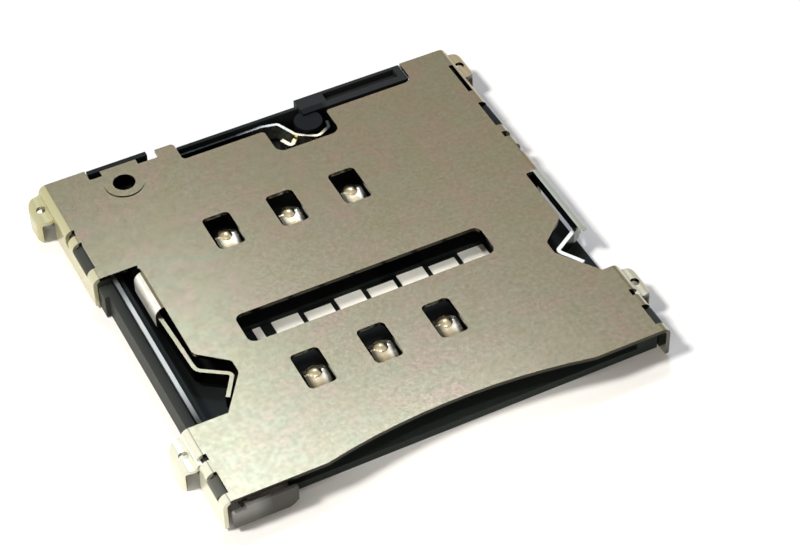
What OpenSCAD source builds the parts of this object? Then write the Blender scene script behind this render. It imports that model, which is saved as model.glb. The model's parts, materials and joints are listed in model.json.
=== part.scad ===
// Tray socket for a small subscriber card: a folded steel cover over a moulded base,
// six contact springs, a tray detect switch and a push rod ejector with its lever.
// X runs across the card, Y to the back, Z up from the circuit board.

/* [Cover] */
// Width over the two side walls
shell_w = 17; // [16.8:0.1:17.6]
// Depth from the front edge to the back edge
shell_d = 17; // [16.8:0.1:18]
// Height of the cover's top face above the board
shell_h = 1.4; // [1.35:0.05:1.7]
// Thickness of the cover's sheet
sheet_t = 0.15; // [0.12:0.01:0.18]
// Inside radius of the cover's folds
fold_r = 0.15; // [0.1:0.01:0.18]
// Gap between the side walls and the board
wall_lift = 0.12; // [0.05:0.01:0.25]
// Depth of the bow in the front edge
bow_depth = 0.55; // [0.3:0.01:0.7]
// Width of the bow in the front edge
bow_w = 10.2; // [9:0.1:11.5]
// Middle of the bow, right of the centre
bow_x = 0.4; // [0:0.05:0.6]

/* [Cover openings] */
// Width of a contact window
window_w = 1.08; // [1:0.01:1.3]
// Depth of a contact window
window_d = 1.75; // [1.5:0.05:1.9]
// Corner radius of a contact window
window_r = 0.2; // [0.1:0.05:0.3]
// Width of the inspection slot
slot_w = 9.7; // [9.2:0.1:10.2]
// Depth of the inspection slot
slot_d = 1.45; // [1.2:0.05:1.6]
// Corner radius of the inspection slot
slot_r = 0.3; // [0.15:0.05:0.4]
// Middle of the slot, right of the centre
slot_x = 0.1; // [0.05:0.01:0.15]
// Middle of the slot, in front of the centre
slot_front = 1.55; // [1.45:0.05:1.65]
// Inset of the plate's edge beside the rod channel
left_inset = 1.78; // [1.76:0.01:1.86]
// Inset of the plate's edge beside the right detent
right_inset = 0.69; // [0.65:0.01:0.75]
// How far the plate is cut back for a detent's nose
nose_room = 1.07; // [1:0.01:1.15]
// Back end of the cut-out over the rod channel
channel_back = 3.1; // [3:0.05:3.2]
// Back end of the slit beside the right detent
slit_back = 0.8; // [0.6:0.05:0.9]
// Front end of both detent cut-outs, in front of the centre
cut_front = 4.85; // [4.75:0.05:4.95]

/* [Detents] */
// Height of a detent spring
detent_h = 0.55; // [0.4:0.05:0.6]
// Gap between a detent's top edge and the top of the cover
detent_drop = 0.3; // [0.25:0.01:0.35]
// Inset of the left detent's arm
detent_inset = 1.49; // [1.46:0.01:1.52]
// How far the left arm leans in on its way to the nose
arm_lean = 0.17; // [0.1:0.01:0.2]
// How far the left detent's nose stands in from its arm
detent_bite = 1.06; // [1:0.01:1.1]
// Inset of the right detent's nose
right_nose_inset = 1.48; // [1.4:0.01:1.52]
// Place of the noses, in front of the centre
nose_front = 3.02; // [2.95:0.01:3.1]

/* [Solder legs] */
// Width of a solder leg
leg_w = 1.5; // [1.2:0.05:1.6]
// How far a leg stands out from its wall
leg_out = 0.6; // [0.5:0.05:0.8]
// Depth of a leg's ear below the top of the cover
ear_drop = 0.36; // [0.34:0.01:0.45]
// Diameter of the hole in an ear
ear_hole_d = 0.36; // [0.25:0.01:0.4]
// Distance of the rear legs from the back edge
rear_leg_inset = 0.82; // [0.8:0.01:0.95]
// Distance of the front legs from the front edge
front_leg_inset = 2.79; // [2.7:0.01:2.79]

/* [Contacts] */
// Pitch of the contacts across the card
pitch_x = 2.54; // [2.5:0.01:2.58]
// Pitch of the two rows of contacts
row_pitch = 7.62; // [7.58:0.01:7.66]
// Middle of the contact field, left of the centre
field_left = 0.76; // [0.7:0.01:0.8]
// Middle of the contact field, in front of the centre
field_front = 0.52; // [0.48:0.01:0.56]
// Thickness of the contact strip
contact_t = 0.12; // [0.1:0.01:0.14]
// Width of a contact spring
contact_w = 0.85; // [0.7:0.01:0.9]
// Free height of a contact above the board
contact_h = 0.98; // [0.9:0.01:1.02]
// Offset of the springs to the right of their windows
contact_shift = 0.12; // [0.05:0.01:0.15]
// Diameter of the dome on a contact's tip
dome_d = 0.55; // [0.3:0.05:0.6]
// Height of the dome on a contact's tip
dome_h = 0.08; // [0.05:0.01:0.1]
// Width of a solder tail
tail_w = 1.05; // [0.8:0.05:1.1]
// Pitch of the solder tails
tail_pitch = 1.25; // [1.22:0.01:1.26]
// Middle of the row of tails, right of the centre
tail_mid = 0.38; // [0.35:0.01:0.41]

/* [Ejector] */
// Distance of the lever's pivot from the left edge
pivot_inset = 2.94; // [2.91:0.01:2.97]
// Distance of the lever's pivot from the back edge
pivot_back = 1.28; // [1.26:0.01:1.32]
// Hole through the pivot collar
pivot_hole_d = 0.85; // [0.7:0.05:0.95]
// Outside of the pivot collar
collar_d = 1.25; // [1.15:0.01:1.3]
// Distance of the rod's middle from the left edge
rod_inset = 0.83; // [0.81:0.01:0.85]
// Thickness of the rod's strip
rod_t = 0.15; // [0.12:0.01:0.18]
// Gap between the rod's top edge and the top of the cover
rod_drop = 0.33; // [0.3:0.01:0.4]
// Travel of the rod when it is pushed
rod_travel = 0.9; // [0.6:0.05:0.95]
// How far the push pad stands in front of the cover
pad_out = 0.2; // [0.1:0.01:0.25]
// Left end of the push pad, from the left edge
pad_inset = 0.25; // [0.22:0.01:0.4]
// Right end of the push pad, from the left edge
pad_reach = 2.62; // [2.4:0.01:2.7]
// Gap between the push pad and the board
pad_z = 0.2; // [0.1:0.01:0.3]
// Thickness of the lever
lever_t = 0.25; // [0.2:0.01:0.26]
// Length of the lever's long arm
lever_reach = 5.3; // [5:0.02:5.4]

/* [Detect switch] */
// Thickness of the switch strips
leaf_t = 0.12; // [0.1:0.01:0.13]
// Height of the leaf
leaf_h = 0.65; // [0.5:0.01:0.7]
// Radius of the boss that the leaf bends round
boss_r = 0.55; // [0.45:0.01:0.56]
// Thickness of the switch's fixed contact
terminal_t = 0.16; // [0.12:0.01:0.18]
// Distance of the fixed contact's bar from the leaf
terminal_gap = 0.45; // [0.4:0.01:0.5]

/* [Base] */
// Thickness of the base's floor
floor_t = 0.32; // [0.28:0.01:0.34]
// Distance of the floor's front edge behind the cover's
floor_inset = 0.5; // [0.4:0.01:0.6]
// Left edge of the tray's path, from the left edge
tray_left_inset = 2; // [1.95:0.01:2.05]
// Right edge of the tray's path, from the right edge
tray_right_inset = 1; // [0.95:0.01:1.05]
// Width of the left tray rail
rail_w = 0.38; // [0.3:0.01:0.4]

/* [Clearances] */
// Gap between the base and the cover
seat = 0.03; // [0.02:0.005:0.04]
// Running gap of the rod in its channel
run_clear = 0.06; // [0.05:0.005:0.07]
// Running gap of the lever on its collar
pivot_clear = 0.03; // [0.02:0.005:0.04]
// Gap between the rod's end and the lever at rest
rest_gap = 0.08; // [0.07:0.005:0.1]

/* [Hidden] */
$fn = 48;
arc_steps = 5;

left = -shell_w / 2;
right = shell_w / 2;
front = (pad_out - shell_d) / 2;
back = front + shell_d;
middle_y = (front + back) / 2;
over = 1;
fold_mid = fold_r + sheet_t / 2;
plate_under = shell_h - sheet_t;
plate_mid = shell_h - sheet_t / 2;

// Corner radii in the plate: nicks, cuts and wide openings
nick_r = 0.1;
cut_r = 0.15;
corner_r = 0.35;
nose_r = 0.25;

// Openings in the folds and the side walls: lengths, depths and distances from the front or back edge
latch_inset = 0.38;
latch_drop = 0.35;
latch_z = shell_h - latch_drop;
rear_latch_len = 1.45;
rear_latch_from = 4.2;
rear_latch_y = back - rear_latch_from;
front_latch_len = 1;
front_latch_from = 0.88;
front_latch_y = front + front_latch_from;
relief_len = 0.3;
relief_drop = 0.55;
relief_z = shell_h - relief_drop;
left_relief_from = 2.9;
left_relief_y = back - left_relief_from;
right_relief_from = 5.5;
right_relief_y = back - right_relief_from;
front_relief_from = 2.1;
front_relief_y = front + front_relief_from;
leg_slit_len = 1.7;
leg_slit_inset = 0.2;
leg_slit_from = 1.87;
leg_slit_y = back - leg_slit_from;
wall_notch_len = 0.5;
wall_notch_inset = 0.2;
wall_notch_from = 6.4;
wall_notch_y = back - wall_notch_from;

// Back edge of the cover, from left to right
block_from = 1.85;
block_left = left + block_from;
block_w = 2.44;
block_right = block_left + block_w;
block_gap = 0.34;
gap_right = block_right + block_gap;
relief_depth = 0.55;
tongue_depth = 0.27;
tongue_side = 0.5;
tab_w = 0.75;
tab_drop = 0.12;
recess_left = gap_right + tab_w;
recess_depth = 1.12;
switch_from = 3.32;
switch_left = recess_left + switch_from;
switch_w = 2.59;
switch_right = switch_left + switch_w;
switch_depth = 2.44;
bar_lap = 0.84;
bar_left = switch_right - bar_lap;
bar_inset = 2;
bar_right = right - bar_inset;
bar_gap = 0.22;

// Detents
detent_top = shell_h - detent_drop;
detent_low = detent_top - detent_h;
detent_root = 2;
root_gap = 0.37;
detent_root_back = channel_back - root_gap;
nose_back = 1.8;
nose_half = 0.3;
bend_front = 2.29;
right_bend_front = 2.16;
bend_r = 0.35;
hook_run = 0.92;
hook_back = 0.58;
strip_inset = latch_inset;
strip_front = 2.6;

// Solder legs
ear_z = shell_h - ear_drop;
ear_r = 0.45;
leg_lap = 0.02;

// Contacts and tails
lead_t = contact_t;
beam_root = 2.42;
beam_knee = 2;
beam_r = 0.2;
knee_z = 0.45;
crest_back = 0.22;
tip_run = 0.62;
tip_drop = 0.3;
pocket_side = 0.12;
pocket_front = 0.1;
pocket_back = 0.95;
pocket_skin = 0.04;
pocket_z = lead_t + pocket_skin;
tail_back = 0.57;
tail_front = 2.2;
tail_short = 0.12;
tail_lap = 0.25;
tail_room = 0.12;
tail_web = 0.08;
run_w = 0.5;
thin_lead_w = 0.3;
lead_gap = 0.1;
front_y = -field_front - row_pitch / 2;
back_y = -field_front + row_pitch / 2;

// Ejector
pivot = [left + pivot_inset, back - pivot_back];
rod_x = left + rod_inset;
lever_arm = pivot.x - rod_x;
lever_pad_r = 0.3;
lever_hub_r = 0.95;
lever_tip_r = 0.38;
lever_tip_front = 0.12;
lever_tip = [lever_reach - lever_tip_r, -lever_tip_front];
lever_waist = 0.3;
lever_waist_x = 1.43;
lever_waist_r = 0.8;
lever_gap = 0.08;
lever_z = plate_under - lever_gap - lever_t;
collar_out = 0.02;
collar_end = lever_z - collar_out;
ring_d = 1.5;
ring_h = 0.04;
rod_lift = 0.08;
rod_z = floor_t + rod_lift;
rod_top = shell_h - rod_drop;
rod_front = front - pad_out;
rod_back = pivot.y - lever_pad_r - rest_gap;
rod_bend_r = 0.15;
pad_left_drop = 0.45;
pad_left_top = shell_h - pad_left_drop;
pad_corner_r = 0.4;
pad_room = 0.15;
pad_sweep = rod_front + rod_t + rod_travel + pad_room;

// Base
base_w = shell_w - 2 * (sheet_t + seat);
base_front = front + floor_inset;
inner_top = plate_under - seat;
edge_cut = 0.1;
channel_step = 0.17;
channel_step_gap = 0.6;
channel_step_back = channel_back - channel_step_gap;
shelf_drop = 0.37;
shelf_z = shell_h - shelf_drop;
channel_drop = 0.4;
channel_top = shell_h - channel_drop;
rib_w = 0.18;
rib_drop = 0.04;
rib_top = lever_z - rib_drop;
lever_bay_front = 0.85;
lever_bay = pivot.y - lever_bay_front;
lever_room = 0.4;
rail_room = 0.2;
tray_left = left + tray_left_inset;
tray_right = right - tray_right_inset;
nub_room = 0.08;
nub_chamfer = 0.06;
wall_room = 0.06;
rear_wall_inset = 0.29;
rear_wall_t = 0.15;
rear_wall_drop = 0.1;
rear_wall_top = shell_h - rear_wall_drop;
boss_from_switch = 1.8;
boss_back = 1.22;
boss = [switch_left + boss_from_switch, back - boss_back];
pocket_rim = 0.3;
bar_pocket_depth = 0.25;
block_drop = 0.04;
block_top = shell_h - block_drop;
boss_drop = 0.1;
boss_top = shell_h - boss_drop;

// Leaf of the detect switch, seen from above: it runs along the rear wall and then round the boss
leaf_y = back - rear_wall_inset - rear_wall_t - leaf_t;
leaf_drop = 0.25;
leaf_top = shell_h - leaf_drop;
leaf_z = leaf_top - leaf_h;
leaf_post = 0.4;
leaf_room = 0.22;
leaf_ring = boss_r + leaf_t / 2 + leaf_room;
leaf_r = 0.3;
leaf_kink_r = 0.15;
leaf_root = [recess_left + leaf_post, leaf_y];
leaf_kink = boss + leaf_ring * [-1.29, 0.6];
leaf_turn = boss + leaf_ring * [-0.84, -0.42];
leaf_nose = boss + leaf_ring * [0.06, -1];
leaf_rise = boss + leaf_ring * [0.75, -0.63];
leaf_end = boss + leaf_ring * [0.83, -0.24];
leaf_path = [leaf_root, [leaf_kink.x - 2 * leaf_r, leaf_y, leaf_r], concat(leaf_kink, leaf_kink_r),
    concat(leaf_turn, leaf_r), concat(leaf_nose, leaf_r), concat(leaf_rise, leaf_r / 2), leaf_end];

// Bar of the fixed contact beside the leaf's slope, with a finger towards the leaf's turn
leaf_slope = unit(leaf_turn - leaf_kink);
leaf_side = [leaf_slope.y, -leaf_slope.x];
terminal_drop = 0.4;
terminal_top = shell_h - terminal_drop;
terminal_r = 0.1;
terminal_start = 0.6;
terminal_len = 0.52;
terminal_high = leaf_kink + leaf_slope * terminal_start + leaf_side * terminal_gap;
terminal_low = terminal_high + leaf_slope * terminal_len;
finger_gap = 0.04;
finger_end = leaf_turn + unit(terminal_low - leaf_turn) * (leaf_t / 2 + finger_gap);

function unit(v) = v / norm(v);
function flat(p) = [p.x, p.y];

// Points of the arc of radius r that rounds the corner p between a and b
function corner_arc(a, p, b, r) =
    let (u = unit(a - p), v = unit(b - p), half = acos(u * v) / 2)
    let (centre = p + unit(u + v) * r / sin(half), start = p + u * r / tan(half) - centre)
    let (first = atan2(start.y, start.x), sweep = (180 - 2 * half) * sign(cross(v, u)))
    [for (k = [0 : arc_steps])
        let (angle = first + sweep * k / arc_steps)
        centre + r * [cos(angle), sin(angle)]];

// A path of [x, y, corner radius] points with its corners rounded
function rounded(points, closed) =
    let (n = len(points))
    [for (i = [0 : n - 1])
        let (p = points[i], inner = closed || (i > 0 && i < n - 1))
        each (inner && len(p) == 3)
            ? corner_arc(flat(points[(i + n - 1) % n]), flat(p), flat(points[(i + 1) % n]), p.z)
            : [flat(p)]];

// One edge of a strip that follows a path, at a distance to its left
function strip_edge(path, distance) =
    let (last = len(path) - 1)
    [for (i = [0 : last])
        let (before = unit(path[max(i, 1)] - path[max(i, 1) - 1]))
        let (after = unit(path[min(i + 1, last)] - path[min(i + 1, last) - 1]))
        let (side = [-before.y, before.x], across = unit(side + [-after.y, after.x]))
        path[i] + across * distance / (across * side)];

function backwards(list) = [for (i = [len(list) - 1 : -1 : 0]) list[i]];

// Section of a bent strip of thickness t along a path of [x, y, corner radius] points
module bent_strip(points, t) {
    path = rounded(points, false);
    polygon(concat(strip_edge(path, t / 2), backwards(strip_edge(path, -t / 2))));
}

module rounded_polygon(points) {
    polygon(rounded(points, true));
}

module rounded_slot(w, d, r) {
    square([w - 2 * r, d], center = true);
    square([w, d - 2 * r], center = true);
    for (sx = [-1, 1], sy = [-1, 1])
        translate([sx * (w / 2 - r), sy * (d / 2 - r)]) circle(r);
}

// A box between two corners
module block(low, high) {
    translate(low) cube(high - low);
}

// Stands a drawing of [x, z] on edge, with its length along Y about the middle
module along_y(length) {
    rotate([90, 0, 0]) linear_extrude(length, center = true) children();
}

// Stands a drawing of [y, z] on edge, with its width along X about the middle
module along_x(width) {
    rotate([90, 0, 90]) linear_extrude(width, center = true) children();
}

// Mirrors a right hand piece to the left when side is -1
module on_side(side) {
    mirror([side < 0 ? 1 : 0, 0, 0]) children();
}

function contact_x(column) = -field_left + (column - 1) * pitch_x + contact_shift;
function tail_x(k) = tail_mid + (k - 3.5) * tail_pitch;

// Cover

// Cut-out of the plate's edge round a detent, as seen from the left edge
module detent_cut(inset, start) {
    rounded_polygon([[-over, start], [inset, start, nick_r], [inset, -nose_back, corner_r],
        [inset + nose_room, -nose_front + nose_half, nose_r],
        [inset + nose_room, -nose_front - nose_half, nose_r], [inset, -cut_front], [-over, -cut_front]]);
}

module back_edge_cuts() {
    difference() {
        rounded_polygon([[block_left, back + over], [block_left, back - relief_depth, nick_r],
            [gap_right, back - relief_depth, nick_r], [gap_right, back + over]]);
        translate([block_left + tongue_side, back - relief_depth - over])
            square([block_right - block_left - 2 * tongue_side, over + relief_depth - tongue_depth]);
    }
    edge = back - recess_depth;
    rounded_polygon([[gap_right, back + over], [gap_right, back - tab_drop],
        [recess_left, back - tab_drop, cut_r], [recess_left, edge, cut_r], [switch_left, edge, cut_r],
        [switch_left, back - switch_depth, corner_r], [switch_right, back - switch_depth, corner_r],
        [switch_right, edge, cut_r], [bar_right, edge, corner_r], [bar_right, back + over]]);
}

module plate_cuts() {
    bow_r = bow_w * bow_w / (8 * bow_depth) + bow_depth / 2;
    translate([bow_x, front + bow_depth - bow_r]) circle(bow_r, $fn = 360);
    for (column = [0 : 2], y = [front_y, back_y])
        translate([-field_left + (column - 1) * pitch_x, y]) rounded_slot(window_w, window_d, window_r);
    translate([slot_x, -slot_front]) rounded_slot(slot_w, slot_d, slot_r);
    translate(pivot) circle(d = pivot_hole_d);
    translate([left, 0]) detent_cut(left_inset, channel_back);
    translate([right, 0]) mirror([1, 0]) difference() {
        detent_cut(right_inset, slit_back);
        translate([-2 * over, -strip_front])
            square([2 * over + strip_inset, strip_front + slit_back + over]);
    }
    back_edge_cuts();
}

// Opening in the fold and the wall of one side, down to a height above the board
module side_cut(side, y, length, inset, low) {
    on_side(side)
        block([right - inset, y - length / 2, low], [right + over, y + length / 2, shell_h + over]);
}

module side_cuts() {
    for (side = [-1, 1]) {
        side_cut(side, rear_latch_y, rear_latch_len, latch_inset, latch_z);
        side_cut(side, front_latch_y, front_latch_len, latch_inset, latch_z);
        side_cut(side, front_relief_y, relief_len, latch_inset, relief_z);
        for (y = [back - rear_leg_inset, front + front_leg_inset])
            on_side(side) block([right - sheet_t - over / 2, y - leg_w / 2, -over],
                [right + over, y + leg_w / 2, ear_z - sheet_t]);
    }
    side_cut(-1, left_relief_y, relief_len, latch_inset, relief_z);
    side_cut(1, right_relief_y, relief_len, latch_inset, relief_z);
    block([right - latch_inset, leg_slit_y - leg_slit_len / 2, plate_under - fold_r],
        [right - leg_slit_inset, leg_slit_y + leg_slit_len / 2, shell_h + over]);
    side_cut(1, wall_notch_y, wall_notch_len, wall_notch_inset, -over);
    block([left - over, -cut_front, -over], [left + sheet_t + fold_r, channel_back, shell_h + over]);
    block([right - sheet_t - fold_r, -cut_front, -over], [right + over, -strip_front, shell_h + over]);
    block([right - sheet_t - fold_r, -cut_front, -over], [right + over, -right_bend_front, detent_top]);
    block([right - sheet_t - fold_r, -cut_front, -over], [right + over, slit_back, detent_low]);
}

// Solder leg at the right: out from the wall, then down to the board
module solder_leg(y) {
    wall_mid = right - sheet_t / 2;
    ear_mid = ear_z - sheet_t / 2;
    out_mid = wall_mid + leg_out;
    tip = right + leg_out;
    translate([0, y, 0]) difference() {
        intersection() {
            along_y(leg_w) bent_strip([[wall_mid, ear_mid + fold_mid + leg_lap],
                [wall_mid, ear_mid, fold_mid], [out_mid, ear_mid, fold_mid], [out_mid, 0]], sheet_t);
            linear_extrude(shell_h) rounded_polygon([[right - sheet_t, -leg_w / 2],
                [tip, -leg_w / 2, ear_r], [tip, leg_w / 2, ear_r], [right - sheet_t, leg_w / 2]]);
        }
        translate([right + leg_out / 2 - sheet_t / 2, 0, 0]) cylinder(d = ear_hole_d, h = shell_h);
    }
}

// End of a spring arm from its bend to its hook, as seen from its side's edge
function detent_path(bend, bend_y, nose) =
    [[bend, -bend_y, bend_r], [nose, -nose_front, cut_r], [nose - hook_back, -nose_front - hook_run]];

module detent_arm(points) {
    translate([0, 0, detent_low]) linear_extrude(detent_h) bent_strip(points, sheet_t);
}

// The left arm hangs from a flange that is folded down from the plate's edge
module left_detent() {
    flange_x = left + detent_inset;
    arm_back = detent_root_back - detent_root / 2;
    translate([0, arm_back, 0]) along_y(detent_root)
        bent_strip([[left + left_inset + sheet_t, plate_mid],
            [flange_x, plate_mid, left_inset - detent_inset], [flange_x, detent_low]], sheet_t);
    bend = detent_inset + arm_lean;
    path = detent_path(bend, bend_front, bend + detent_bite);
    translate([left, 0, 0]) detent_arm(concat([[detent_inset, arm_back]], path));
}

// The right arm goes on from the strip of fold and wall that the slit leaves
module right_detent() {
    wall = sheet_t / 2;
    path = detent_path(wall, right_bend_front, right_nose_inset);
    translate([right, 0, 0]) mirror([1, 0, 0]) detent_arm(concat([[wall, 0]], path));
}

module pivot_collar() {
    translate(concat(pivot, 0)) difference() {
        union() {
            translate([0, 0, collar_end]) cylinder(d = collar_d, h = shell_h - collar_end);
            translate([0, 0, plate_under]) cylinder(d = ring_d, h = sheet_t + ring_h);
        }
        cylinder(d = pivot_hole_d, h = shell_h + over);
    }
}

module shield_shell() {
    wall_mid = right - sheet_t / 2;
    color([0.62, 0.58, 0.5]) union() {
        difference() {
            translate([0, middle_y, 0]) along_y(shell_d)
                bent_strip([[-wall_mid, wall_lift], [-wall_mid, plate_mid, fold_mid],
                    [wall_mid, plate_mid, fold_mid], [wall_mid, wall_lift]], sheet_t);
            translate([0, 0, plate_under - sheet_t]) linear_extrude(over) plate_cuts();
            side_cuts();
        }
        pivot_collar();
        left_detent();
        right_detent();
        for (side = [-1, 1], y = [back - rear_leg_inset, front + front_leg_inset])
            on_side(side) solder_leg(y);
    }
}

// Contacts

// A flat lead at board level between two corners in plan
module lead(low, high) {
    linear_extrude(lead_t)
        polygon([[low.x, low.y], [high.x, low.y], [high.x, high.y], [low.x, high.y]]);
}

// Spring of a contact, rising to the back from its root in front of the row
module contact_spring(x, y) {
    top = contact_h - contact_t / 2;
    translate([x, y, 0]) along_x(contact_w)
        bent_strip([[-beam_root - tail_lap, contact_t / 2], [-beam_root, contact_t / 2, beam_r],
            [-beam_knee, knee_z, beam_r], [crest_back, top, beam_r], [tip_run, top - tip_drop]], contact_t);
    dome_r = (dome_d * dome_d / 4 + dome_h * dome_h) / (2 * dome_h);
    translate([x, y + crest_back, contact_h - contact_t / 2]) intersection() {
        translate([0, 0, dome_h + contact_t / 4 - dome_r]) sphere(dome_r, $fn = 96);
        cylinder(d = dome_d, h = over);
    }
}

module rear_contact(column) {
    x = contact_x(column);
    tail = tail_x(2 * column + 1);
    contact_spring(x, back_y);
    lead([x - contact_w / 2, -tail_back + tail_lap], [x + contact_w / 2, back_y - beam_root]);
    lead([tail - tail_w / 2, -tail_front + tail_short], [tail + tail_w / 2, -tail_back + 2 * tail_lap]);
}

// The lead of a front contact turns back beside its spring
module front_contact(column) {
    x = contact_x(column);
    tail = tail_x(2 * column + 2);
    run = x + pitch_x / 2;
    root = front_y - beam_root;
    contact_spring(x, front_y);
    lead([x - contact_w / 2, root - run_w], [run + run_w / 2, root]);
    lead([run - run_w / 2, root - run_w], [run + run_w / 2, -tail_front]);
    lead([tail - tail_w / 2, -tail_front - tail_lap], [tail + tail_w / 2, -tail_back - tail_short]);
}

module rear_contact_node(column) {
    color([0.8, 0.74, 0.56]) union() rear_contact(column);
}

module front_contact_node(column) {
    color([0.8, 0.74, 0.56]) union() front_contact(column);
}

// Detect switch

module leaf_solid() {
    lead_x = contact_x(0) - contact_w / 2 - lead_gap - thin_lead_w;
    translate([0, 0, leaf_z]) linear_extrude(leaf_h) bent_strip(leaf_path, leaf_t);
    translate([leaf_root.x - leaf_post, leaf_root.y - leaf_t / 2, 0]) cube([leaf_post, leaf_t, leaf_top]);
    lead([lead_x, leaf_root.y - thin_lead_w / 2], [leaf_root.x, leaf_root.y + thin_lead_w / 2]);
    lead([lead_x, -tail_front + tail_short], [lead_x + thin_lead_w, leaf_root.y + thin_lead_w / 2]);
}

module terminal_solid() {
    run_y = back - switch_depth;
    tail = tail_x(7);
    linear_extrude(terminal_top)
        bent_strip([terminal_high, concat(terminal_low, terminal_r), finger_end], terminal_t);
    lead([terminal_high.x - thin_lead_w / 2, run_y], [terminal_low.x + thin_lead_w / 2, terminal_high.y]);
    lead([terminal_high.x - thin_lead_w / 2, run_y], [tail + thin_lead_w / 2, run_y + thin_lead_w]);
    lead([tail - thin_lead_w / 2, -tail_back], [tail + thin_lead_w / 2, run_y + thin_lead_w]);
    lead([tail - tail_w / 2, -tail_front + tail_short], [tail + tail_w / 2, -tail_back + tail_lap]);
}

module detect_leaf() {
    color([0.82, 0.78, 0.62]) union() leaf_solid();
}

module detect_terminal() {
    color([0.82, 0.78, 0.62]) union() terminal_solid();
}

// Ejector

module ejector_rod() {
    pad_y = rod_front + rod_t / 2;
    pad_left = left + pad_inset;
    pad_right = left + pad_reach;
    step_x = rod_x - rod_t / 2;
    color([0.72, 0.72, 0.7]) union() {
        translate([0, 0, rod_z]) linear_extrude(rod_top - rod_z)
            bent_strip([[rod_x, rod_back], [rod_x, pad_y, rod_bend_r], [pad_right, pad_y]], rod_t);
        translate([0, pad_y, 0]) along_y(rod_t)
            rounded_polygon([[pad_left, pad_z, nick_r], [pad_right, pad_z, pad_corner_r],
                [pad_right, rod_top], [step_x, rod_top], [step_x, pad_left_top],
                [pad_left, pad_left_top, nick_r]]);
    }
}

module ejector_lever() {
    hub_side = lever_hub_r * 0.6;
    pad_side = lever_pad_r * 0.8;
    tip_side = [0, lever_tip_r * 0.8];
    color([0.7, 0.7, 0.67]) translate(concat(pivot, lever_z)) difference() {
        linear_extrude(lever_t) {
            circle(lever_hub_r);
            translate([-lever_arm, 0]) circle(lever_pad_r);
            polygon([[0, hub_side], [-lever_arm, pad_side], [-lever_arm, -pad_side], [0, -hub_side]]);
            translate(lever_tip) circle(lever_tip_r);
            rounded_polygon([[0, -hub_side], [lever_waist_x, -lever_waist, lever_waist_r],
                lever_tip - tip_side, lever_tip + tip_side,
                [lever_waist_x, lever_waist, lever_waist_r], [0, hub_side]]);
        }
        translate([0, 0, -over]) cylinder(d = collar_d + 2 * pivot_clear, h = 3 * over);
    }
}

// Base

module base_floor() {
    difference() {
        block([-base_w / 2, base_front, 0], [base_w / 2, back, floor_t]);
        block([-base_w / 2 - over, -cut_front + seat, -over],
            [-base_w / 2 + channel_step, channel_step_back, floor_t + over]);
        block([-base_w / 2 - over, base_front - over, -over],
            [left + pad_reach + run_clear, pad_sweep, floor_t + over]);
        for (column = [0 : 2], y = [front_y, back_y])
            block([contact_x(column) - contact_w / 2 - pocket_side, y - beam_root + pocket_front, pocket_z],
                [contact_x(column) + contact_w / 2 + pocket_side, y + pocket_back, floor_t + over]);
        block([tail_x(0) - tail_w / 2, -tail_front, tail_web],
            [tail_x(7) + tail_w / 2 + tail_room, -tail_back, floor_t + over]);
    }
}

// Wall under the fold of one side, with its top edge cut away for the fold's radius
module side_wall(side, inner, low_y, high_y) {
    outer = base_w / 2;
    on_side(side) translate([0, (low_y + high_y) / 2, 0]) along_y(high_y - low_y)
        polygon([[inner, 0], [outer, 0], [outer, inner_top - edge_cut], [outer - edge_cut, inner_top],
            [inner, inner_top]]);
}

module channel_walls() {
    wall_in = rod_x - rod_t / 2 - run_clear;
    rib_x = rod_x + rod_t / 2 + run_clear;
    block([-base_w / 2 + channel_step, pad_sweep, 0], [wall_in, lever_bay, channel_top]);
    block([-base_w / 2, channel_step_back, 0], [wall_in, channel_back + seat, channel_top]);
    difference() {
        side_wall(-1, -wall_in, base_front, -cut_front - seat);
        block([left - over, front - over, -over], [rod_x, pad_sweep, shelf_z]);
    }
    side_wall(-1, -wall_in, channel_back + seat, lever_bay);
    block([rib_x, pad_sweep, 0], [rib_x + rib_w, lever_bay - lever_room, rib_top]);
}

module tray_rails() {
    rail_left = tray_left - rail_w;
    block([rail_left, pad_sweep, 0], [tray_left, -cut_front - rail_room, inner_top]);
    block([rail_left, channel_back + rail_room, 0], [tray_left, lever_bay - lever_room, inner_top]);
    side_wall(1, tray_right, base_front, -cut_front - 2 * rail_room);
    side_wall(1, tray_right, slit_back + 2 * rail_room, back);
}

// Catch on a side that lies in an opening of the cover's fold
module latch_nub(side, low_y, high_y) {
    root = base_w / 2 - sheet_t;
    low = latch_z + seat;
    on_side(side) translate([0, (low_y + high_y) / 2, 0]) along_y(high_y - low_y)
        polygon([[root, low], [right, low], [right, inner_top - nub_chamfer],
            [right - nub_chamfer, inner_top], [root, inner_top]]);
}

module latch_nubs() {
    rear_half = rear_latch_len / 2 - nub_room;
    front_half = front_latch_len / 2 - nub_room;
    for (side = [-1, 1]) {
        latch_nub(side, rear_latch_y - rear_half, rear_latch_y + rear_half);
        latch_nub(side, base_front, front_latch_y + front_half);
    }
}

module rear_walls() {
    bar_front = back - recess_depth + bar_gap;
    bar_end = bar_right - wall_room;
    block([block_left + wall_room, back - tongue_depth + wall_room, 0], [block_right, back, block_top]);
    block([recess_left + wall_room, back - rear_wall_inset - rear_wall_t, 0],
        [boss.x, back - rear_wall_inset, rear_wall_top]);
    difference() {
        block([bar_left, bar_front, 0], [bar_end, back, block_top]);
        block([switch_right + pocket_rim, bar_front + pocket_rim, block_top - bar_pocket_depth],
            [bar_end - pocket_rim, back - pocket_rim / 2, block_top + over]);
    }
    translate(concat(boss, 0)) cylinder(r = boss_r, h = boss_top);
    translate(concat(pivot, 0)) cylinder(r = lever_hub_r, h = lever_z - wall_room);
}

module housing() {
    color([0.07, 0.08, 0.08]) difference() {
        union() {
            base_floor();
            channel_walls();
            tray_rails();
            latch_nubs();
            rear_walls();
        }
        for (column = [0 : 2]) {
            rear_contact(column);
            front_contact(column);
        }
        leaf_solid();
        terminal_solid();
    }
}

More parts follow.
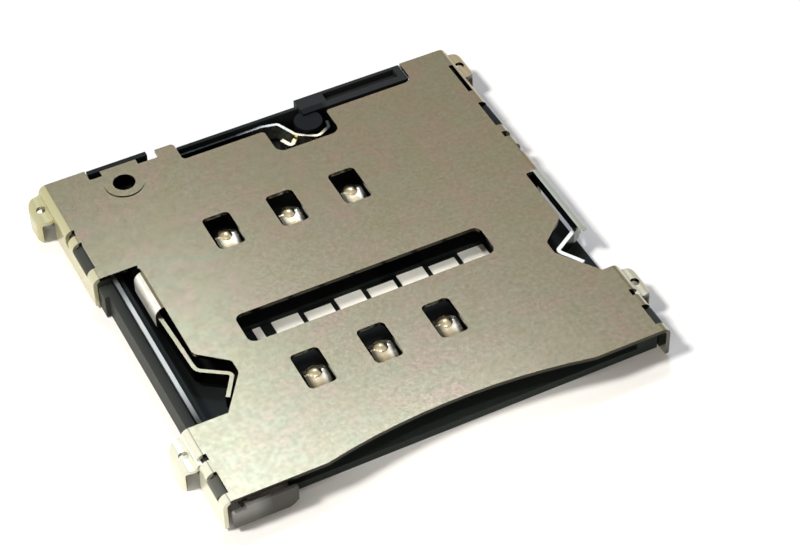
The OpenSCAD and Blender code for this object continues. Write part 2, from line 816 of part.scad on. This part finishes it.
housing();
shield_shell();
rear_contact_node(0);  // contact_c1
rear_contact_node(1);  // contact_c2
rear_contact_node(2);  // contact_c3
front_contact_node(0);  // contact_c5
front_contact_node(1);  // contact_c6
front_contact_node(2);  // contact_c7
detect_leaf();
detect_terminal();
ejector_rod();
ejector_lever();
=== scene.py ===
import json
import math

import bpy
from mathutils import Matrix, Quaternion, Vector

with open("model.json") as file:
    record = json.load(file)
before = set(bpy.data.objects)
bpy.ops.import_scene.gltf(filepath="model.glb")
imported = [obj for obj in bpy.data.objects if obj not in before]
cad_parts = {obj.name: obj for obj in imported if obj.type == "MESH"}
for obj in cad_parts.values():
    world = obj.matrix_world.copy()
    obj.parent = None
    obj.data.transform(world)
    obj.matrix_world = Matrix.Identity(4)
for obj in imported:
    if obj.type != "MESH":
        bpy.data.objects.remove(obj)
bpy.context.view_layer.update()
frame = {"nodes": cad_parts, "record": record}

MM = 0.001

# Camera, in millimetres of the part's frame and pixels of an image 800 wide
CAMERA_AT = Vector((-24.57, -55.747, 62.181))
CAMERA_AIM = Vector((1.386, -1.621, 1.4))
CAMERA_ROLL_DEG = 1.567
FOCAL_PX = 2400
IMAGE_W_PX = 800
SENSOR_W = 36
NEAR_CLIP = 1

# Soft boxes: place, aim and size in millimetres, power in watts. A box with no aim looks straight down
WARM = (1, 0.99, 0.96)
BLUE = (0.56, 0.72, 0.94)
CLEAR_BLUE = (0.61, 0.735, 1)
KEY_BOX = {"at": (-290, 55, 400), "aim": (0, 0, 0), "size": (80, 80), "power": 2.1, "tint": WARM}
SHEEN_BOX = {"at": (70.7, 230.8, 326), "aim": None, "size": (44, 136), "power": 0.18, "tint": BLUE}
GLINT_BOX = {"at": (101, 187.5, 326), "aim": None, "size": (45, 48), "power": 0.327, "tint": CLEAR_BLUE}
FILL_BOX = {"at": (-220, -300, 170), "aim": (-4, -6, 0.5), "size": (160, 160), "power": 0.4, "tint": WARM}
# Narrow spot that looks in through the slot from above
SLOT_SPOT = {"at": (-20, -70, 210), "aim": (0.3, -1.2, 0.1), "radius": 5, "cone_deg": 3.4,
             "blend": 0.3, "power": 1.2}
# Even light of the room, and the white that the camera and reflections see
WORLD_SOFT = 0.28
WORLD_SHOWN = 1.0
WORLD_SOFT_TINT = (1, 0.95, 0.85, 1)
WHITE = (1, 1, 1, 1)

# Floor: size and drop in millimetres, then its finish
FLOOR_SIZE = 4000
FLOOR_DROP = 0.02
FLOOR_WHITE = (0.96, 0.935, 0.905, 1)
FLOOR_ROUGHNESS = 0.9

# Zones of a finish, in millimetres. A row names an axis, the place where the zone starts and the place
# where it is full. A zone with several rows is where they overlap
RIGHT_WALL = [("X", 8.3, 8.36)]
LEFT_WALL = [("X", -8.2, -8.26)]
RIGHTWARD = [("X", -8.5, 8.5)]
LEFTWARD = [("X", 8.5, -8.5)]
BACKWARD = [("Y", -5.6, 7.8)]
FRONT_HALF = [("Y", 1, -5)]
LEFT_ROOT = [("X", -6.5, -6.6), ("Y", 0.7, 0.75)]
RIGHT_DETENT = [("Z", 1.17, 1.12), ("X", 5.7, 5.8)]
RIGHT_STRIP = [("X", 8, 8.05), ("Y", -2.8, -2.7), ("Y", 0.9, 0.8)]
REAR_BAR = [("Y", 7, 7.2), ("X", 1, 1.2)]
BOSS = [("X", 1, 1.2), ("X", 3, 2.8), ("Y", 8.05, 7.95)]
LIP = [("Y", -6.4, -7.4)]
LEFT_RAIL = [("X", -7.7, -8.5)]
FRONT_CORNER = [("Y", -6.5, -6.9)]
TAILS = [("Y", -2.6, -2.5), ("Y", -0.4, -0.5)]
LEAF_BEND = [("X", -0.8, 0.5)]
LEAF_FRONT = [("Y", 7.4, 7.2)]
LEAF_END = [("X", 2.1, 2.5)]
ROD_BACK = [("Y", 1.4, 2.4)]
ROD_FRONT = [("Y", -2.6, -4.4)]
PAD = [("Y", -8.3, -8.4)]
PAD_LEFT = [("X", -6.8, -7.4)]
PAD_TOP = [("Z", 0.4, 0.8)]

# Marks of a finish: size in millimetres, detail of the noise, the noise values where the marks start and
# where they are full, and the most that they cover
STEEL_PATCHES = {"size": 1.6, "detail": 1, "edges": (0.35, 0.65), "most": 1}
STEEL_DRIFT = {"size": 0.9, "detail": 1.5, "edges": (0.42, 0.68), "most": 1, "stretch": (1, 1.3, 1)}
STEEL_BLOTCHES = {"size": 0.4, "detail": 2, "edges": (0.35, 0.7), "most": 0.85}
STEEL_SPECKLE = {"size": 0.13, "detail": 2, "edges": (0.35, 0.75), "most": 0.4}
STEEL_FRECKLES = {"size": 0.2, "detail": 2, "edges": (0.42, 0.66), "most": 0.6}
# Noise that mottles the painted glint on the left root fold
STEEL_GLINT_MOTTLE = {**STEEL_BLOTCHES, "edges": (0.4, 0.65), "most": 1}
PLASTIC_FLOW = {"size": 1.4, "detail": 3, "edges": (0.3, 0.7), "most": 1, "stretch": (1, 0.25, 1)}
PLASTIC_GRAIN = {"size": 0.06, "detail": 3}
PLATING_WEAR = {"size": 0.35, "detail": 4}
PLATING_GRAIN = {"size": 0.04, "detail": 2}
GOLD_WEAR = {"size": 0.3, "detail": 3, "edges": (0.35, 0.65), "most": 1}
ROD_LINES = {"size": 0.06, "detail": 2, "stretch": (1, 1, 0.1)}
ROD_CLOUD = {"size": 0.9, "detail": 3, "edges": (0.3, 0.7), "most": 1}
NOISE_SPAN = (0.3, 0.7)

# Colours of the cover
SHEET_TAN = (0.209, 0.179, 0.103, 1)
SHEET_ROSY = (0.245, 0.174, 0.121, 1)
SHEET_GREEN = (0.203, 0.187, 0.116, 1)
SHEET_DARK = (0.182, 0.15, 0.09, 1)
SHEET_PALE = (0.25, 0.208, 0.134, 1)
SHEET_RUBBED = (0.172, 0.147, 0.092, 1)
# Painted shade on the sheet's sideways-facing cut faces
SHEARED_SHADE = (0.045, 0.04, 0.03, 1)
# Painted highlight on the right detent springs below the plate
DETENT_PAINTED_HIGHLIGHT = (0.72, 0.71, 0.63, 1)
# Painted highlight along the right detent strip
STRIP_HIGHLIGHT = (0.36, 0.37, 0.32, 1)
# Painted glint on the curved left root fold, mottled between these two
ROOT_PAINTED_GLINT = (0.98, 0.97, 0.88, 1)
ROOT_GLINT_MOTTLED = (0.8, 0.78, 0.67, 1)
# Tin tone of the walls and legs; the pale left and front tones are painted light, the darker right and back
# tones painted shade
TIN_LEFT_BACK = (0.45, 0.42, 0.23, 1)
TIN_RIGHT_BACK = (0.37, 0.305, 0.18, 1)
TIN_LEFT_FRONT = (0.74, 0.73, 0.58, 1)
TIN_RIGHT_FRONT = (0.47, 0.44, 0.33, 1)
# Painted shade on the right walls' front-facing ends
TIN_END_SHADE = (0.1, 0.1, 0.09, 1)

# Colours of the base
BLACK_LOW = (0.005, 0.0063, 0.0058, 1)
BLACK_HIGH = (0.01, 0.0124, 0.0114, 1)
BAR_BLACK = (0.017, 0.0175, 0.0172, 1)
# Painted shade on the boss
BOSS_SHADE = (0.0025, 0.003, 0.0034, 1)
# Painted light on the shaded front lip under the plate
LIP_PAINTED_LIGHT = (0.026, 0.031, 0.028, 1)
RAIL_GREY = (0.06, 0.061, 0.05, 1)
# Painted light on the front corner of the left rail
CORNER_PAINTED_LIGHT = (0.14, 0.14, 0.115, 1)

# Colours of the springs, the switch and the ejector
GOLD = (0.52, 0.43, 0.27, 1)
GOLD_WORN = (0.62, 0.53, 0.36, 1)
# Painted highlight, painted dome shade, painted front shadow and painted side shade on the contacts
GOLD_HIGHLIGHT = (0.84, 0.81, 0.68, 1)
DOME_SHADE = (0.34, 0.28, 0.165, 1)
GOLD_SHADOW = (0.2, 0.14, 0.06, 1)
GOLD_SHADE = (0.03, 0.024, 0.014, 1)
TAIL_TIN = (0.9, 0.87, 0.78, 1)
# Painted shade and painted golden highlight on the switch strips, around their silvery flash
LEAF_SHADE = (0.04, 0.04, 0.036, 1)
LEAF_SILVER = (0.6, 0.59, 0.52, 1)
LEAF_GOLD_HIGHLIGHT = (0.72, 0.64, 0.44, 1)
ROD_GREY = (0.37, 0.37, 0.335, 1)
ROD_BRIGHT = (0.45, 0.45, 0.405, 1)
# Painted shade towards the rod's back and front ends
ROD_BACK_SHADE = (0.145, 0.146, 0.13, 1)
ROD_FRONT_SHADE = (0.055, 0.054, 0.046, 1)
# Painted shade on the push pad, with painted light at its left and top
PAD_SHADE = (0.085, 0.083, 0.074, 1)
PAD_LEFT_LIGHT = (0.14, 0.138, 0.124, 1)
PAD_TOP_LIGHT = (0.26, 0.26, 0.24, 1)

# How far a face is turned along an axis, from where a finish starts to where it is full: painted shade on
# sheared sides and on the right walls' front ends, painted glint on the left root fold
SHEARED_TURN = (0.7, 0.4)
LEFT_TURN = (-0.3, -0.5)
FRONT_TURN = (-0.4, -0.7)

# Middle of one contact's dome, the spacing of the contact field, and distances from the dome in millimetres
# over which painted highlight, painted shade and painted shadow come in
DOME_X = -0.64
DOME_Y = -4.11
PITCH_X = 2.54
PITCH_Y = 7.62
HIGHLIGHT_SIDE = (0.08, 0.26)
DOME_SHADE_RING = (0.34, 0.18)
SHADOW_FRONT = (-0.36, -0.6)
SHADE_SIDE = (-0.12, -0.34)
DOME_SHADE_MOST = 0.7
SHADOW_MOST = 0.75
SHADE_MOST = 0.95

# Roughness, metal share, and relief depth in millimetres with its strength
STEEL_SUM_SPAN = (0.7, 1.3)
STEEL_ROUGHNESS = (0.175, 0.22)
STEEL_RELIEF = (0.0006, 0.05)
TIN_METAL = 0.4
PLASTIC_SPECULAR = 0.07
PLASTIC_ROUGHNESS = (0.4, 0.55)
PLASTIC_RELIEF = (0.003, 0.3)
PLATING_ROUGHNESS = (0.18, 0.3)
PLATING_RELIEF = (0.0015, 0.4)
TAIL_METAL = 0.25
TAIL_ADDED_ROUGHNESS = 0.3
ROD_ROUGHNESS = (0.5, 0.6)
ROD_RELIEF = (0.002, 0.4)


def aim_camera():
    """Camera at the photograph's viewing angle."""
    data = bpy.data.cameras.new("camera")
    data.sensor_fit = "HORIZONTAL"
    data.sensor_width = SENSOR_W
    data.lens = SENSOR_W * FOCAL_PX / IMAGE_W_PX
    data.clip_start = NEAR_CLIP * MM
    camera = bpy.data.objects.new("camera", data)
    bpy.context.collection.objects.link(camera)
    forward = (CAMERA_AIM - CAMERA_AT).normalized()
    turn = forward.to_track_quat("-Z", "Y") @ Quaternion((0, 0, 1), math.radians(-CAMERA_ROLL_DEG))
    camera.location = CAMERA_AT * MM
    camera.rotation_mode = "QUATERNION"
    camera.rotation_quaternion = turn
    bpy.context.scene.camera = camera


def place_lamp(data, spec):
    """Puts a lamp at its place and turns it to its aim."""
    lamp = bpy.data.objects.new(data.name, data)
    bpy.context.collection.objects.link(lamp)
    lamp.location = Vector(spec["at"]) * MM
    if spec["aim"]:
        toward = Vector(spec["aim"]) - Vector(spec["at"])
        lamp.rotation_euler = toward.to_track_quat("-Z", "Y").to_euler()


def add_box(name, spec):
    """Rectangular soft box."""
    data = bpy.data.lights.new(name, "AREA")
    data.shape = "RECTANGLE"
    data.size = spec["size"][0] * MM
    data.size_y = spec["size"][1] * MM
    data.energy = spec["power"]
    data.color = spec["tint"]
    place_lamp(data, spec)


def add_spot(name, spec):
    """Narrow spot lamp."""
    data = bpy.data.lights.new(name, "SPOT")
    data.shadow_soft_size = spec["radius"] * MM
    data.spot_size = math.radians(spec["cone_deg"])
    data.spot_blend = spec["blend"]
    data.energy = spec["power"]
    place_lamp(data, spec)


def shown_ray(nodes, links):
    """Socket that is 1 for camera, glossy and transmission rays."""
    path = nodes.new("ShaderNodeLightPath")
    first = nodes.new("ShaderNodeMath")
    first.operation = "MAXIMUM"
    links.new(path.outputs["Is Camera Ray"], first.inputs[0])
    links.new(path.outputs["Is Glossy Ray"], first.inputs[1])
    both = nodes.new("ShaderNodeMath")
    both.operation = "MAXIMUM"
    links.new(first.outputs[0], both.inputs[0])
    links.new(path.outputs["Is Transmission Ray"], both.inputs[1])
    return both.outputs[0]


def mix_colours(nodes, links, factor, a, b):
    """Socket with colour a where the factor is 0 and b where it is 1. Each is a colour or a socket."""
    node = nodes.new("ShaderNodeMix")
    node.data_type = "RGBA"
    links.new(factor, node.inputs["Factor"])
    for name, value in (("A", a), ("B", b)):
        socket = next(s for s in node.inputs if s.name == name and s.type == "RGBA")
        if isinstance(value, tuple):
            socket.default_value = value
        else:
            links.new(value, socket)
    return next(s for s in node.outputs if s.type == "RGBA")


def light_world():
    """Even soft light, shown as white behind the object and in its reflections."""
    world = bpy.data.worlds.new("soft_room")
    bpy.context.scene.world = world
    world.use_nodes = True
    nodes, links = world.node_tree.nodes, world.node_tree.links
    background = nodes["Background"]
    shown = shown_ray(nodes, links)
    links.new(mix_colours(nodes, links, shown, WORLD_SOFT_TINT, WHITE), background.inputs["Color"])
    strength = nodes.new("ShaderNodeMapRange")
    strength.inputs["To Min"].default_value = WORLD_SOFT
    strength.inputs["To Max"].default_value = WORLD_SHOWN
    links.new(shown, strength.inputs["Value"])
    links.new(strength.outputs["Result"], background.inputs["Strength"])


def lay_floor():
    """Plain white table top just under the part."""
    mesh = bpy.data.meshes.new("floor")
    half = FLOOR_SIZE / 2 * MM
    low = -FLOOR_DROP * MM
    corners = [(-half, -half, low), (half, -half, low), (half, half, low), (-half, half, low)]
    mesh.from_pydata(corners, [], [(0, 1, 2, 3)])
    floor = bpy.data.objects.new("floor", mesh)
    bpy.context.collection.objects.link(floor)
    material = bpy.data.materials.new("table_white")
    material.use_nodes = True
    shader = material.node_tree.nodes["Principled BSDF"]
    shader.inputs["Base Color"].default_value = FLOOR_WHITE
    shader.inputs["Roughness"].default_value = FLOOR_ROUGHNESS
    shader.inputs["Specular IOR Level"].default_value = 0
    mesh.materials.append(material)


class Paint:
    """A material's node tree, with short calls for the nodes that repeat."""

    def __init__(self, name):
        self.material = bpy.data.materials.new(name)
        self.material.use_nodes = True
        self.nodes = self.material.node_tree.nodes
        self.links = self.material.node_tree.links
        self.shader = self.nodes["Principled BSDF"]
        where = self.nodes.new("ShaderNodeTexCoord")
        self.place = where.outputs["Object"]
        self.facings = where.outputs["Normal"]

    def stretched(self, factors):
        """The object's coordinates, scaled along each axis."""
        node = self.nodes.new("ShaderNodeMapping")
        node.inputs["Scale"].default_value = factors
        self.links.new(self.place, node.inputs["Vector"])
        return node.outputs["Vector"]

    def noise(self, marks):
        """Cloudy noise with marks of one size, from 0 to 1."""
        node = self.nodes.new("ShaderNodeTexNoise")
        node.inputs["Scale"].default_value = 1 / (marks["size"] * MM)
        node.inputs["Detail"].default_value = marks["detail"]
        source = self.stretched(marks["stretch"]) if "stretch" in marks else self.place
        self.links.new(source, node.inputs["Vector"])
        return node.outputs["Fac"]

    def ranged(self, value, span, to_span=(0, 1)):
        """A value mapped from one span to another, held at its ends."""
        node = self.nodes.new("ShaderNodeMapRange")
        node.inputs["From Min"].default_value = span[0]
        node.inputs["From Max"].default_value = span[1]
        node.inputs["To Min"].default_value = to_span[0]
        node.inputs["To Max"].default_value = to_span[1]
        self.links.new(value, node.inputs["Value"])
        return node.outputs["Result"]

    def within(self, distance, span, most=1):
        """How far a distance in metres lies along a span in millimetres, from 0 to the most."""
        return self.ranged(distance, (span[0] * MM, span[1] * MM), (0, most))

    def covered(self, marks):
        """How far marks cover each point, from 0 to their most."""
        return self.ranged(self.noise(marks), marks["edges"], (0, marks["most"]))

    def mixed(self, factor, a, b):
        """Colour a at 0 and b at 1. Each is a colour or a socket."""
        return mix_colours(self.nodes, self.links, factor, a, b)

    def part_of(self, vector, name):
        """One axis of a vector."""
        node = self.nodes.new("ShaderNodeSeparateXYZ")
        self.links.new(vector, node.inputs["Vector"])
        return node.outputs[name]

    def zone(self, rows):
        """1 inside a zone and 0 outside it."""
        inside = [self.within(self.part_of(self.place, name), (start, full)) for name, start, full in rows]
        return self.overlap(*inside)

    def facing(self, name):
        """How far the surface faces along one of the object's axes, from -1 to 1."""
        return self.part_of(self.facings, name)

    def math(self, operation, *values):
        """One step of arithmetic on sockets or numbers."""
        node = self.nodes.new("ShaderNodeMath")
        node.operation = operation
        for socket, value in zip(node.inputs, values):
            if isinstance(value, (int, float)):
                socket.default_value = value
            else:
                self.links.new(value, socket)
        return node.outputs[0]

    def overlap(self, first, *others):
        """Product of one or more sockets."""
        for other in others:
            first = self.math("MULTIPLY", first, other)
        return first

    def repeated(self, name, middle_mm, pitch_mm):
        """Distance along an axis from the nearest of a row of places, in metres."""
        from_middle = self.math("SUBTRACT", self.part_of(self.place, name), middle_mm * MM)
        return self.math("WRAP", from_middle, pitch_mm / 2 * MM, -pitch_mm / 2 * MM)

    def bump(self, height, relief):
        """Relief of a given depth and strength."""
        node = self.nodes.new("ShaderNodeBump")
        node.inputs["Distance"].default_value = relief[0] * MM
        node.inputs["Strength"].default_value = relief[1]
        self.links.new(height, node.inputs["Height"])
        self.links.new(node.outputs["Normal"], self.shader.inputs["Normal"])

    def feed(self, name, value):
        """Sets or links one input of the shader."""
        if isinstance(value, (int, float)):
            self.shader.inputs[name].default_value = value
        else:
            self.links.new(value, self.shader.inputs[name])


def mottled_sheet(paint):
    """Colour of the cover's sheet, from wide patches down to fine speckle."""
    rosy = paint.mixed(paint.covered(STEEL_PATCHES), SHEET_TAN, SHEET_ROSY)
    green = paint.mixed(paint.covered(STEEL_DRIFT), rosy, SHEET_GREEN)
    cloudy = paint.mixed(paint.covered(STEEL_BLOTCHES), green, SHEET_DARK)
    grained = paint.mixed(paint.covered(STEEL_SPECKLE), cloudy, SHEET_PALE)
    rubbed = paint.overlap(paint.covered(STEEL_FRECKLES), paint.zone(FRONT_HALF))
    return paint.mixed(rubbed, grained, SHEET_RUBBED)


def tinned_walls_with_painted_light(paint):
    """Colour of the tinned walls and legs, made paler at the left and the front by painted light and darker
    at the right walls' front ends by painted shade.
    """
    # Tin tone mixed from left to right and from back to front: painted light and shade over the tin colour
    right = paint.zone(RIGHTWARD)
    back = paint.mixed(right, TIN_LEFT_BACK, TIN_RIGHT_BACK)
    front = paint.mixed(right, TIN_LEFT_FRONT, TIN_RIGHT_FRONT)
    tin = paint.mixed(paint.zone(BACKWARD), front, back)
    # Front-facing faces of the right walls are darkened: painted shade
    right_end_shade = paint.overlap(right, paint.ranged(paint.facing("Y"), FRONT_TURN))
    return paint.mixed(right_end_shade, tin, TIN_END_SHADE)


def cover_steel():
    """Satin stainless sheet with a warm, mottled tone and tinned walls and legs, with painted shade on its
    sheared sides, a painted glint on the left root fold, a painted highlight on the right detents and the
    right strip, and painted light and shade on the walls.
    """
    paint = Paint("cover_steel")
    # The right detent springs get a pale painted highlight where reflected light would be
    bright = paint.mixed(paint.zone(RIGHT_DETENT), mottled_sheet(paint), DETENT_PAINTED_HIGHLIGHT)
    # The sheet's sideways-facing cut faces are darkened: painted shade
    sheared = paint.ranged(paint.math("ABSOLUTE", paint.facing("Z")), SHEARED_TURN)
    edged = paint.mixed(sheared, bright, SHEARED_SHADE)
    # The left-facing root fold is painted near white: a painted glint, with a lower metal share
    root = paint.overlap(paint.ranged(paint.facing("X"), LEFT_TURN), paint.zone(LEFT_ROOT))
    root_glint = paint.mixed(paint.covered(STEEL_GLINT_MOTTLE), ROOT_PAINTED_GLINT, ROOT_GLINT_MOTTLED)
    folded = paint.mixed(root, edged, root_glint)
    walls = paint.math("MAXIMUM", paint.zone(RIGHT_WALL), paint.zone(LEFT_WALL))
    skin = paint.mixed(walls, folded, tinned_walls_with_painted_light(paint))
    # The right detent strip is painted paler grey: painted highlight
    paint.feed("Base Color", paint.mixed(paint.zone(RIGHT_STRIP), skin, STRIP_HIGHLIGHT))
    matt = paint.math("MAXIMUM", paint.overlap(walls, paint.zone(LEFTWARD)), root)
    paint.feed("Metallic", paint.ranged(matt, (0, 1), (1, TIN_METAL)))
    speckle = paint.noise(STEEL_SPECKLE)
    both = paint.math("ADD", speckle, paint.noise(STEEL_BLOTCHES))
    paint.feed("Roughness", paint.ranged(both, STEEL_SUM_SPAN, STEEL_ROUGHNESS))
    paint.bump(speckle, STEEL_RELIEF)
    return paint.material


def base_plastic():
    """Black moulded plastic with a faint green cast and a fine matt grain, paler at its outer edges, with
    painted shade on the boss and painted light on the front lip and the rail's front corner.
    """
    paint = Paint("base_plastic")
    black = paint.mixed(paint.covered(PLASTIC_FLOW), BLACK_LOW, BLACK_HIGH)
    bar = paint.mixed(paint.zone(REAR_BAR), black, BAR_BLACK)
    # The boss is painted darker: painted shade
    boss = paint.mixed(paint.zone(BOSS), bar, BOSS_SHADE)
    # The front lip is painted lighter: painted light
    lip = paint.mixed(paint.zone(LIP), boss, LIP_PAINTED_LIGHT)
    # The rail's front corner is painted lighter: painted light
    rail = paint.mixed(paint.zone(FRONT_CORNER), RAIL_GREY, CORNER_PAINTED_LIGHT)
    paint.feed("Base Color", paint.mixed(paint.zone(LEFT_RAIL), lip, rail))
    paint.feed("Specular IOR Level", PLASTIC_SPECULAR)
    grain = paint.noise(PLASTIC_GRAIN)
    paint.feed("Roughness", paint.ranged(grain, NOISE_SPAN, PLASTIC_ROUGHNESS))
    paint.bump(grain, PLASTIC_RELIEF)
    return paint.material


def plated(paint, flash):
    """Finishes a spring strip: a shiny flash of colour, and matt tinned solder tails."""
    tail = paint.zone(TAILS)
    paint.feed("Base Color", paint.mixed(tail, flash, TAIL_TIN))
    paint.feed("Metallic", paint.ranged(tail, (0, 1), (1, TAIL_METAL)))
    worn = paint.ranged(paint.noise(PLATING_WEAR), NOISE_SPAN, PLATING_ROUGHNESS)
    paint.feed("Roughness", paint.math("ADD", worn, paint.ranged(tail, (0, 1), (0, TAIL_ADDED_ROUGHNESS))))
    paint.bump(paint.noise(PLATING_GRAIN), PLATING_RELIEF)
    return paint.material


def contact_plating():
    """Gold flash on the contacts, with a painted highlight at each one's right side, painted shade at its
    left side and on its dome, and a painted brown shadow along its front.
    """
    paint = Paint("contact_plating")
    aside = paint.repeated("X", DOME_X, PITCH_X)
    ahead = paint.repeated("Y", DOME_Y, PITCH_Y)
    squares = paint.math("ADD", paint.math("POWER", aside, 2), paint.math("POWER", ahead, 2))
    away = paint.math("SQRT", squares)
    gold = paint.mixed(paint.covered(GOLD_WEAR), GOLD, GOLD_WORN)
    # Painted highlight at the right, painted shade on the dome and at the left, painted shadow in front
    pale = paint.mixed(paint.within(aside, HIGHLIGHT_SIDE), gold, GOLD_HIGHLIGHT)
    dome_shaded = paint.mixed(paint.within(away, DOME_SHADE_RING, DOME_SHADE_MOST), pale, DOME_SHADE)
    brown = paint.mixed(paint.within(ahead, SHADOW_FRONT, SHADOW_MOST), dome_shaded, GOLD_SHADOW)
    dark = paint.mixed(paint.within(aside, SHADE_SIDE, SHADE_MOST), brown, GOLD_SHADE)
    return plated(paint, dark)


def switch_plating():
    """Thin silvery flash on the switch strips, with a painted golden highlight at the front and painted
    shade at the left and at the right end.
    """
    paint = Paint("switch_plating")
    # Painted shade at the left and right end, painted highlight at the front
    silver = paint.mixed(paint.zone(LEAF_BEND), LEAF_SHADE, LEAF_SILVER)
    golden = paint.mixed(paint.zone(LEAF_FRONT), silver, LEAF_GOLD_HIGHLIGHT)
    return plated(paint, paint.mixed(paint.zone(LEAF_END), golden, LEAF_SHADE))


def ejector_steel():
    """Stamped strip with fine shear lines, bright along its middle and darkened towards its ends by painted
    shade; the push pad has painted shade on its front and painted light at its left and top.
    """
    paint = Paint("ejector_steel")
    bright = paint.mixed(paint.covered(ROD_CLOUD), ROD_GREY, ROD_BRIGHT)
    # The rod's ends are darkened: painted shade
    back = paint.mixed(paint.zone(ROD_BACK), bright, ROD_BACK_SHADE)
    front = paint.mixed(paint.zone(ROD_FRONT), back, ROD_FRONT_SHADE)
    # Push pad: painted shade on its front, painted light at its left and top
    pad_left = paint.mixed(paint.zone(PAD_TOP), PAD_LEFT_LIGHT, PAD_TOP_LIGHT)
    pad = paint.mixed(paint.zone(PAD_LEFT), PAD_SHADE, pad_left)
    paint.feed("Base Color", paint.mixed(paint.zone(PAD), front, pad))
    paint.feed("Metallic", 1)
    paint.feed("Roughness", paint.ranged(paint.noise(ROD_CLOUD), NOISE_SPAN, ROD_ROUGHNESS))
    paint.bump(paint.noise(ROD_LINES), ROD_RELIEF)
    return paint.material


def dress():
    """Gives every piece its finish by its material slot."""
    finishes = {
        "cover_steel": cover_steel(),
        "base_plastic": base_plastic(),
        "contact_plating": contact_plating(),
        "switch_plating": switch_plating(),
        "ejector_steel": ejector_steel(),
    }
    for part in frame["record"]["subparts"]:
        mesh = frame["nodes"][part["node"]].data
        mesh.materials.clear()
        mesh.materials.append(finishes[part["material_slot"]])


bpy.context.scene.view_settings.view_transform = "Standard"
aim_camera()
light_world()
add_box("key_box", KEY_BOX)
add_box("sheen_box", SHEEN_BOX)
add_box("glint_box", GLINT_BOX)
add_box("fill_box", FILL_BOX)
add_spot("slot_spot", SLOT_SPOT)
lay_floor()
dress()
